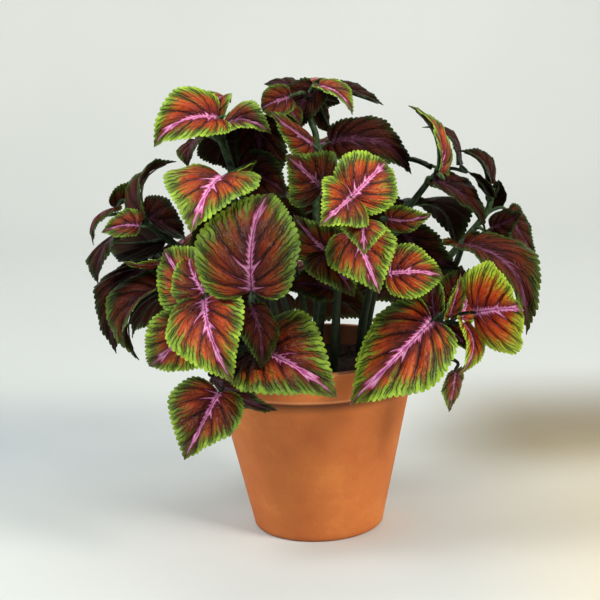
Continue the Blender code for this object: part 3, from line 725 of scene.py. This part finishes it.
def plain_floor():
    """The pale ground with painted shade: greyer low down than up the backdrop, and a soft painted shadow
    band behind the pot, brown on the right and blue on the left; and a painted warm light in front of the pot
    on the right.
    """
    g = Graph("floor")
    place = g.place()
    across, away, _ = g.split(place)
    colour = g.ramp(g.noise(place, 1.3, 2), FLOOR_RAMP)
    # Painted shade: the ground is greyer low down and paler up the backdrop.
    colour = g.mix(g.smooth(away, 2.1, 0.2, 0.0, 0.9), colour, srgb(FLOOR_SHADE_GREY))
    near = g.mul(g.smooth(away, -0.7, -0.3), g.smooth(g.math("ABSOLUTE", across), 1.1, 0.5))
    # Painted shadow: a soft dark band behind the pot, brown on the right and blue on the left.
    shadow_band = g.mul(g.mul(g.smooth(away, 0.05, 0.17), g.smooth(away, 0.44, 0.2)), near)
    colour = g.mix(g.mul(shadow_band, g.smooth(across, 0.05, 0.2, 0.0, 0.9)), colour, srgb(FLOOR_SHADOW_BROWN))
    colour = g.mix(g.mul(shadow_band, g.smooth(across, -0.05, -0.35, 0.0, 0.5)), colour, srgb(FLOOR_SHADOW_BLUE))
    # Painted light: a warm glow on the floor in front of the pot, on the right.
    warm_light = g.mul(g.smooth(away, 0.3, 0.0), g.smooth(across, 0.06, 0.26, 0.0, 0.6))
    colour = g.mix(g.mul(warm_light, near), colour, srgb(FLOOR_WARM_LIGHT))
    return g.finish(colour, 0.7, 0.2)


def arc(centre, radius, start, end, steps):
    """Points on an arc of a profile, between two angles in degrees."""
    angles = [math.radians(start + (end - start) * k / steps) for k in range(steps + 1)]
    return [(centre[0] + radius * math.cos(a), centre[1] + radius * math.sin(a)) for a in angles]


def inner_radius(height):
    """The pot's inner wall at a height."""
    slope = (BODY_RADIUS_AT_BAND - FOOT_RADIUS) / BAND_BOTTOM
    return FOOT_RADIUS + slope * height - WALL


def smooth_path(points, steps):
    """A Catmull-Rom curve through the points."""
    ends = [points[0] * 2 - points[1]] + points + [points[-1] * 2 - points[-2]]
    path = []
    for before, start, end, after in zip(ends, ends[1:], ends[2:], ends[3:]):
        for k in range(steps):
            t = k / steps
            second = (2 * before - 5 * start + 4 * end - after) * t * t
            third = (3 * start - before - 3 * end + after) * t * t * t
            path.append(0.5 * (2 * start + (end - before) * t + second + third))
    return path + [points[-1]]


def unit(vectors):
    """The vectors made one long."""
    return vectors / np.maximum(np.linalg.norm(vectors, axis=-1, keepdims=True), 1e-12)


class Blade:
    """A leaf's surface, from its row in SHOOTS or from far_leaves."""

    def __init__(self, base, tip, face, width, arch, fold):
        self.base = Vector(base) * MM
        chord = Vector(tip) * MM - self.base
        self.length = chord.length
        self.along = chord.normalized()
        face = Vector(face)
        self.up = (face - self.along * face.dot(self.along)).normalized()
        self.side = self.along.cross(self.up)
        self.width = width
        self.arch = arch
        self.fold = math.radians(fold)

    def surface(self, along, across):
        """Places on the blade, how far along the chord each is, and how far across.

        along is the part of the margin's way from base to tip, and across runs from -1 at one edge over
        0 at the midrib to 1. Both are arrays.
        """
        lobe = np.where(along < LOBE_END, LOBE * np.sin(np.pi * along / LOBE_END), 0)
        edge = MARGIN_TURN * (1 - np.cos(np.pi * along)) + MARGIN_REACH * along**MARGIN_POWER - lobe
        reach = np.sin(np.pi * along) * (1 + EGG * np.cos(np.pi * along)) / EGG_PEAK
        rib = along**RIB_POWER
        out = np.abs(across)
        x = rib + (edge - rib) * out**VEIN_POWER
        bend = np.maximum(x, 0)
        up, forward, side, base = (np.array(v) for v in (self.up, self.along, self.side, self.base))
        slope = 4 * self.arch * (1 - 2 * bend)
        centre = base + np.multiply.outer(x * self.length, forward)
        centre += np.multiply.outer(4 * self.arch * bend * (1 - x) * self.length, up)
        normal = unit(up - slope[..., None] * forward)
        far = reach * out * self.width * self.length
        lift = self.fold - 0.5 * CURL * reach * out
        sideways = (np.sign(across) * far * np.cos(lift))[..., None] * side
        return centre + sideways + normal * (far * np.sin(lift))[..., None], x, reach * out


def stalk_path(blade, path):
    """The leaf stalk's middle line, from inside the stem to just behind the blade's base."""
    foot = min(path[:-1], key=lambda p: (p - blade.base).length + 1.2 * max(0, p.z - blade.base.z + 0.004))
    run = (blade.base - foot).length
    foot += (foot - blade.base).normalized() * STALK_SUNK
    if run < STALK_SHORTEST:
        return [foot]
    entry = blade.base - blade.along * min(0.3 * run, STALK_RUN_IN) - blade.up * RIB_SUNK
    middle = (foot + entry) / 2 + Vector((0, 0, 1)) * STALK_RISE * run
    return [foot, middle, entry]


def far_stem(hole, end):
    """The points that the stem of a far shoot passes: upright over the rim, then outwards."""
    low = Vector((*hole, FAR_CLEAR)).lerp(Vector((*end[:2], FAR_CLEAR)), 0.12)
    high = Vector((*hole, FAR_CLEAR)).lerp(Vector(end), 0.55)
    return [low, high, end]


def far_leaves(end, length, pairs, rng):
    """Crosswise pairs of leaves for a shoot of the far side, the oldest pair lowest and largest."""
    outward = math.atan2(end[1], end[0])
    leaves = []
    for pair in range(pairs):
        drop = FAR_PAIR_DROP * (pairs - 1 - pair)
        size = length * (1 - FAR_SHRINK * pair)
        for side in (0, 1):
            turn = outward + math.pi * side + (math.pi / 2 if pair % 2 == 0 else 0)
            turn += math.radians(rng.uniform(-FAR_TURN, FAR_TURN))
            lean = math.radians(rng.uniform(*FAR_LEAN) + FAR_LIFT * pair)
            flat = Vector((math.cos(turn), math.sin(turn), 0))
            base = Vector(end) + flat * (FAR_STALK - pair) - Vector((0, 0, drop))
            tip = base + (flat * math.cos(lean) + Vector((0, 0, math.sin(lean)))) * size
            face = Vector((math.cos(outward), math.sin(outward), 0.5 + 0.7 * pair))
            leaves.append((base, tip, face, FAR_WIDTH, FAR_ARCH, FAR_FOLD, FAR_TONE))
    return leaves


def even_margin(blade, count):
    """The margin divided evenly: the part of its way at each place, and its distance from the midrib."""
    sample = np.linspace(0, 1, MARGIN_SAMPLES)
    margin, _, _ = blade.surface(sample, np.ones_like(sample))
    steps = np.linalg.norm(np.diff(margin, axis=0), axis=1)
    run = np.concatenate(([0], np.cumsum(steps)))
    run /= run[-1]
    along = np.interp(count, run, sample)
    rib, _, _ = blade.surface(along, np.zeros_like(along))
    rim, _, _ = blade.surface(along, np.ones_like(along))
    return along, np.linalg.norm(rim - rib, axis=1)


def sheet_normals(places, up):
    """The normals of a grid of places, on the side that up is on."""
    normals = np.cross(np.gradient(places, axis=0), np.gradient(places, axis=1))
    normals[0] = normals[1]
    normals[-1] = normals[-2]
    normals = unit(normals)
    middle = normals[normals.shape[0] // 2, normals.shape[1] // 2]
    return -normals if np.sum(middle * np.array(up)) < 0 else normals


def ends_fade(along):
    """Nought at the base and the tip, and one between them."""
    return np.clip(np.sin(np.pi * along) * END_FADE, 0, 1)


def relief(blade, rng, along, across, line, rib_distance):
    """How far each place is lifted: grooved on the veins, puffed between them, wavy towards the edge."""
    scale = blade.length
    out = np.abs(across)
    puff = np.cos(np.pi * line) ** 2
    window = np.clip(out / 0.25, 0, 1) * np.clip((1.02 - out) / 0.3, 0, 1)
    ends = ends_fade(along)
    lift = -VEIN_GROOVE * scale * (1 - puff) ** 3 * window * ends
    lift += QUILT_RISE * scale * puff * window * ends
    lift -= RIB_GROOVE * scale * np.exp(-((rib_distance / RIB_GROOVE_WIDTH) ** 2)) * ends
    # The fourth draw isn't used. It keeps the draws of the leaves that follow.
    phase = [rng.uniform(0, 2 * math.pi) for _ in range(4)]
    side_phase = np.where(across > 0, phase[0], phase[1])
    lift += WAVE_HEIGHT * scale * out**3 * np.sin(2 * math.pi * WAVES * along + side_phase) * ends
    lift += RUFFLE_HEIGHT * scale * out**4 * np.sin(2 * math.pi * RUFFLES * along + phase[2]) * ends
    return lift


def fine_leaf(blade, rng, tone):
    """A leaf's middle sheet as a grid of columns and rows: places, normals, half thickness and maps."""
    size = blade.length / MM
    pairs = 7 if size > LONG_LEAF else 6 if size > MIDDLE_LEAF else 5
    teeth = FORKS * pairs
    columns = teeth * (4 if size > SHORT_LEAF else 3)
    count = np.linspace(0, 1, columns + 1)
    along, half = even_margin(blade, count)
    spread = np.array(ROWS_FINE if size > MIDDLE_LEAF else ROWS_COARSE)
    row = np.concatenate((-spread[:0:-1], spread))

    # Teeth: the rows are drawn in at the margin, down to the notches
    bite = np.abs(np.cos(np.pi * count * teeth)) ** TOOTH_ROUND
    deepest = TOOTH_DEPTH * (size / TOOTH_LEAF) ** 0.5
    depth = np.minimum(TOOTH_MOST, deepest / np.maximum(half, 0.001)) * (1 - bite)
    across = row[None, :] * (1 - depth[:, None] * np.abs(row[None, :]) ** TOOTH_REACH)
    grid_along = np.repeat(along[:, None], len(row), axis=1)
    places, x, reach = blade.surface(grid_along, across)
    normals = sheet_normals(places, blade.up)

    # The veins sweep towards the tip
    out = np.abs(across)
    sweep = VEIN_SWEEP * (1 - count[:, None] ** 4) * (1 - out) ** 1.25
    line = (count[:, None] + sweep) * pairs
    rib_distance = reach * blade.width
    places = places + normals * relief(blade, rng, grid_along, across, line, rib_distance)[..., None]

    # What the materials read: "vein" line and across, "dist" from midrib and margin, "leaf" along and tone
    # with painted light and shade
    widest = half[np.argmin(np.abs(along - 0.5))]
    taper = np.where(grid_along < 0.5, 1.0, np.minimum(half[:, None] / widest, 1.0))
    margin_distance = (1 - np.abs(row)[None, :]) * taper
    maps = {
        "vein": np.stack((line, across), axis=-1),
        "dist": np.stack((rib_distance, margin_distance), axis=-1),
        "leaf": np.stack((np.clip(x, 0, 1), np.full_like(x, tone)), axis=-1),
    }
    return places, normals, HALF_THICK * (1 - EDGE_THIN * out**4), maps


def add_leaf_face(bm, layers, maps, corners, keys, slot):
    """Adds a face with its maps. Corners that are one point, at a leaf's ends, count once."""
    kept = {}
    for corner, key in zip(corners, keys):
        kept.setdefault(corner, key)
    if len(kept) < 3:
        return
    made = bm.faces.new(list(kept))
    made.material_index = slot
    for loop, (i, j) in zip(made.loops, kept.values()):
        for name, layer in layers.items():
            loop[layer].uv = maps[name][i, j]


def add_leaf(bm, layers, blade, rng, tone):
    """Adds a leaf's two faces and its rim to the shoot's mesh."""
    places, normals, thick, maps = fine_leaf(blade, rng, tone)
    columns, rows = places.shape[0] - 1, places.shape[1]
    sheets = []
    for sign in (1, -1):
        spots = places + sign * normals * thick[..., None]
        grid = []
        for i in range(columns + 1):
            if i in (0, columns):
                grid.append([bm.verts.new(spots[i, rows // 2])] * rows)
            else:
                grid.append([bm.verts.new(spots[i, j]) for j in range(rows)])
        sheets.append(grid)
    upper, lower = sheets
    for i in range(columns):
        for j in range(rows - 1):
            keys = [(i, j), (i + 1, j), (i + 1, j + 1), (i, j + 1)]
            add_leaf_face(bm, layers, maps, [upper[a][b] for a, b in keys], keys, UPPER)
            keys.reverse()
            add_leaf_face(bm, layers, maps, [lower[a][b] for a, b in keys], keys, UNDER)
        for j in (0, rows - 1):
            keys = [(i, j), (i + 1, j), (i + 1, j), (i, j)]
            corners = [upper[i][j], upper[i + 1][j], lower[i + 1][j], lower[i][j]]
            add_leaf_face(bm, layers, maps, corners, keys, UPPER)


def add_tube(bm, path, radii, sides, side=(1, 0, 0)):
    """Adds a closed tube along a path, a little square like the stems of this plant."""
    side = Vector(side)
    rings = []
    for k, point in enumerate(path):
        along = (path[min(k + 1, len(path) - 1)] - path[max(k - 1, 0)]).normalized()
        side = (side - along * side.dot(along)).normalized()
        cross = along.cross(side)
        ring = []
        for j in range(sides):
            turn = 2 * math.pi * (j + 0.5) / sides
            square = 1 + STEM_SQUARE * math.cos(4 * turn)
            spot = point + (side * math.cos(turn) + cross * math.sin(turn)) * radii[k] * square
            ring.append(bm.verts.new(spot))
        rings.append(ring)
    faces = [rings[0], rings[-1]]
    for low, high in zip(rings, rings[1:]):
        faces += [(low[j - 1], low[j], high[j], high[j - 1]) for j in range(sides)]
    for corners in faces:
        bm.faces.new(corners).material_index = STEM


def add_stalk(bm, blade, stem):
    """Adds the tube of a leaf's stalk, which goes on under the blade as its midrib."""
    path = stalk_path(blade, stem) + [blade.base]
    if len(path) > 2:
        path = smooth_path(path, STALK_STEPS)
    radii = [STALK_RADIUS * (1.2 - 0.4 * k / len(path)) for k in range(len(path))]
    for part in RIB_STEPS:
        along = np.array([part ** (1 / RIB_POWER)])
        spot, _, _ = blade.surface(along, np.array([0.0]))
        groove = RIB_GROOVE * blade.length * float(ends_fade(along)[0])
        radius = RIB_RADIUS * (1 - part)
        path.append(Vector(spot[0]) - blade.up * (radius + RIB_SUNK + groove))
        radii.append(radius + RIB_TIP_RADIUS)
    add_tube(bm, path, radii, STALK_FINE, blade.side)


def add_object(name, data):
    """A new object in the scene."""
    made = bpy.data.objects.new(name, data)
    bpy.context.scene.collection.objects.link(made)
    return made


def mesh_piece(name, bm, mats, node, angle):
    """A piece that stands for a node of the source; edges sharper than the angle in degrees stay sharp."""
    bmesh.ops.recalc_face_normals(bm, faces=bm.faces)
    mesh = bpy.data.meshes.new(name)
    bm.to_mesh(mesh)
    bm.free()
    for mat in mats:
        mesh.materials.append(mat)
    mesh.shade_smooth()
    mesh.set_sharp_from_angle(angle=math.radians(angle))
    piece = add_object(name, mesh)
    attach(piece, "root")
    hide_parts(node)
    return piece


def fine_shoot(name, hole, stem, leaves, mats, rng):
    """One leafy stem with all its leaves, in fine meshes."""
    foot = Vector((hole[0] * MM, hole[1] * MM, SOIL_TOP - HOLE_DEPTH + GAP))
    collar = Vector((hole[0] * MM, hole[1] * MM, SOIL_TOP + STEM_COLLAR))
    curve = smooth_path([collar] + [Vector(p) * MM for p in stem], STEM_STEPS)
    path = [foot] + curve
    shrink = STEM_RADIUS_HIGH - STEM_RADIUS_LOW
    radii = [STEM_RADIUS_LOW + shrink * k / (len(path) - 1) for k in range(len(path))]
    bm = bmesh.new()
    layers = {key: bm.loops.layers.uv.new(key) for key in ("vein", "dist", "leaf")}
    add_tube(bm, path, radii, STEM_FINE)
    for *row, tone in leaves:
        blade = Blade(*row)
        add_leaf(bm, layers, blade, rng, tone + rng.uniform(-TONE_SPREAD, TONE_SPREAD))
        add_stalk(bm, blade, curve)
    mesh_piece("leafy_" + name, bm, mats, name, SHOOT_SHARP)


def lathe(bm, profile, sides):
    """Turns a closed profile of (radius, height) about Z; a radius of nought is a pole."""
    rings = []
    for radius, height in profile:
        if radius == 0:
            rings.append([bm.verts.new((0, 0, height))])
            continue
        turns = [2 * math.pi * k / sides for k in range(sides)]
        rings.append([bm.verts.new((radius * math.cos(t), radius * math.sin(t), height)) for t in turns])
    for low, high in zip(rings, rings[1:] + rings[:1]):
        if len(low) == 1 and len(high) == 1:
            continue
        for k in range(sides):
            after = (k + 1) % sides
            corners = [low[k % len(low)], low[after % len(low)]]
            corners += [high[after % len(high)], high[k % len(high)]]
            bm.faces.new(list(dict.fromkeys(corners)))


def drain_cutter(turn):
    """A cylinder through the pot's floor where a drain hole is."""
    cut = bmesh.new()
    bmesh.ops.create_cone(
        cut, cap_ends=True, segments=DRAIN_FINE, radius1=DRAIN_RADIUS, radius2=DRAIN_RADIUS, depth=4 * FLOOR
    )
    spot = Vector((DRAIN_CIRCLE * math.cos(turn), DRAIN_CIRCLE * math.sin(turn), 0))
    bmesh.ops.translate(cut, verts=cut.verts, vec=spot)
    shape = bpy.data.meshes.new("drain")
    cut.to_mesh(shape)
    cut.free()
    return bpy.data.objects.new("drain", shape)


def fine_pot(mat):
    """The pot with rounded lips, and its drain holes."""
    inner_top = inner_radius(POT_HEIGHT)
    ledge = BAND_RADIUS - BAND_LEDGE
    lip = RIM_ROUND_INSIDE
    profile = [(0, 0)]
    profile += arc((FOOT_RADIUS - FOOT_ROUND, FOOT_ROUND), FOOT_ROUND, -90, 0, 6)
    profile += [(BODY_RADIUS_AT_BAND, BAND_BOTTOM - BAND_UNDERCUT), (ledge, BAND_BOTTOM)]
    profile += arc((ledge, BAND_BOTTOM + BAND_LEDGE), BAND_LEDGE, -60, 0, 3)
    profile += arc((RIM_RADIUS - RIM_ROUND, POT_HEIGHT - RIM_ROUND), RIM_ROUND, 0, 90, 6)
    profile += arc((inner_top + lip, POT_HEIGHT - lip), lip, 90, 180, 4)
    corner = FLOOR + FLOOR_CORNER_UP
    profile += [(inner_radius(corner), corner), (inner_radius(FLOOR) - FLOOR_CORNER_IN, FLOOR), (0, FLOOR)]
    bm = bmesh.new()
    lathe(bm, profile, POT_FINE)
    piece = mesh_piece("terracotta_pot", bm, [mat], "pot", POT_SHARP)
    cutters = [drain_cutter(2 * math.pi * (k + 0.5) / DRAIN_HOLES) for k in range(DRAIN_HOLES)]
    group = bpy.data.collections.new("drains")
    for cutter in cutters:
        group.objects.link(cutter)
    step = piece.modifiers.new("drains", "BOOLEAN")
    step.operation = "DIFFERENCE"
    step.operand_type = "COLLECTION"
    step.collection = group
    step.solver = "EXACT"
    graph = bpy.context.evaluated_depsgraph_get()
    mesh = bpy.data.meshes.new_from_object(piece.evaluated_get(graph))
    piece.modifiers.clear()
    piece.data = mesh
    for cutter in cutters:
        bpy.data.objects.remove(cutter)
    bpy.data.collections.remove(group)


def soil_lumps(spot):
    """How uneven the soil is at a place."""
    return noise.fractal(spot * LUMP_SCALE, 1.0, 2.0, 4)


def fine_soil(mat, rng):
    """The soil: the same plug with an uneven top and loose crumbs."""
    base = FLOOR + GAP
    edge = SOIL_TOP - SOIL_CROWN
    wall = inner_radius(edge) - GAP
    profile = [(0, base), (inner_radius(base) - GAP, base), (wall, edge - SOIL_SIDE)]
    for k in range(SOIL_RINGS):
        part = k / SOIL_RINGS
        profile.append((wall * (1 - part), edge + SOIL_CROWN * part))
    profile.append((0, SOIL_TOP))
    bm = bmesh.new()
    lathe(bm, profile, SOIL_FINE)
    for vert in bm.verts:
        if vert.co.z > edge - 0.001:
            fade = min(1, (wall - math.hypot(vert.co.x, vert.co.y)) / LUMP_FADE + 0.2)
            vert.co.z += fade * LUMP_HEIGHT * soil_lumps(vert.co) - LUMP_SUNK
    for _ in range(CRUMBS):
        radius = (wall - CRUMB_CLEAR) * math.sqrt(rng.random())
        turn = rng.uniform(0, 2 * math.pi)
        size = rng.uniform(*CRUMB_RADIUS)
        spot = Vector((radius * math.cos(turn), radius * math.sin(turn), SOIL_TOP - SOIL_CROWN * 0.5))
        spot.z += LUMP_HEIGHT * soil_lumps(spot) - CRUMB_SUNK
        made = bmesh.ops.create_icosphere(bm, subdivisions=1, radius=size)
        squash = (rng.uniform(0.7, 1.4), rng.uniform(0.7, 1.4), rng.uniform(0.5, 0.9), 1)
        spin = Matrix.Rotation(rng.uniform(0, 6.28), 4, "Z")
        form = Matrix.Translation(spot) @ spin @ Matrix.Diagonal(squash)
        bmesh.ops.transform(bm, verts=made["verts"], matrix=form)
    mesh_piece("potting_soil", bm, [mat], "soil", SOIL_SHARP)


def make_camera():
    """The camera of the photo."""
    yaw, down, roll = (math.radians(v) for v in (CAMERA_YAW, CAMERA_DOWN, CAMERA_ROLL))
    ahead = Vector((math.sin(yaw) * math.cos(down), math.cos(yaw) * math.cos(down), -math.sin(down)))
    level = Vector((math.cos(yaw), -math.sin(yaw), 0))
    over = level.cross(ahead)
    right = level * math.cos(roll) + over * math.sin(roll)
    above = over * math.cos(roll) - level * math.sin(roll)
    data = bpy.data.cameras.new("camera")
    data.lens = FOCAL_MM
    data.sensor_width = SENSOR_MM
    data.clip_start, data.clip_end = CAMERA_CLIP
    camera = add_object("camera", data)
    turn = Matrix((right, above, -ahead)).transposed().to_4x4()
    camera.matrix_world = Matrix.Translation(CAMERA_PLACE) @ turn
    bpy.context.scene.camera = camera


def make_light(name, place, target, size, power, colour):
    """A soft square light that looks at a point."""
    data = bpy.data.lights.new(name, "AREA")
    data.size = size
    data.energy = power
    data.color = colour
    light = add_object(name, data)
    light.location = place
    look = Vector(target) - Vector(place)
    light.rotation_euler = look.to_track_quat("-Z", "Y").to_euler()


def make_stage():
    """A pale floor that curves up into a backdrop, soft light and a pale sky."""
    profile = [(FLOOR_FRONT, 0.0)]
    profile += arc((FLOOR_BACK, BACKDROP_ROUND), BACKDROP_ROUND, -90, 0, 15)
    profile += [(FLOOR_BACK + BACKDROP_ROUND, BACKDROP_TOP)]
    bm = bmesh.new()
    rows = [[bm.verts.new((x, y, z)) for x in (-FLOOR_HALF_WIDTH, FLOOR_HALF_WIDTH)] for y, z in profile]
    for low, high in zip(rows, rows[1:]):
        bm.faces.new((low[0], low[1], high[1], high[0])).smooth = True
    mesh = bpy.data.meshes.new("floor")
    bm.to_mesh(mesh)
    bm.free()
    mesh.materials.append(plain_floor())
    floor = add_object("floor", mesh)
    for row in LIGHTS:
        make_light(*row)
    world = bpy.data.worlds.new("studio")
    world.use_nodes = True
    back = world.node_tree.nodes["Background"]
    back.inputs["Color"].default_value = SKY_COLOUR
    back.inputs["Strength"].default_value = SKY_STRENGTH
    bpy.context.scene.world = world
    bpy.context.scene.view_settings.view_transform = "Standard"


def main():
    """Builds and dresses the whole plant."""
    make_camera()
    make_stage()
    mats = (upper_leaf(), under_leaf(), stem_green())
    rng = random.Random(FAR_SEED)
    shoots = dict(SHOOTS)
    for name, (hole, end, length, pairs) in FAR_SHOOTS.items():
        shoots[name] = (hole, far_stem(hole, end), far_leaves(end, length, pairs, rng))
    waves = random.Random(WAVE_SEED)
    for name, (hole, stem, leaves) in shoots.items():
        fine_shoot(name, hole, stem, leaves, mats, waves)
    fine_pot(terracotta())
    fine_soil(earth(), random.Random(CRUMB_SEED))
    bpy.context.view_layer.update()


main()
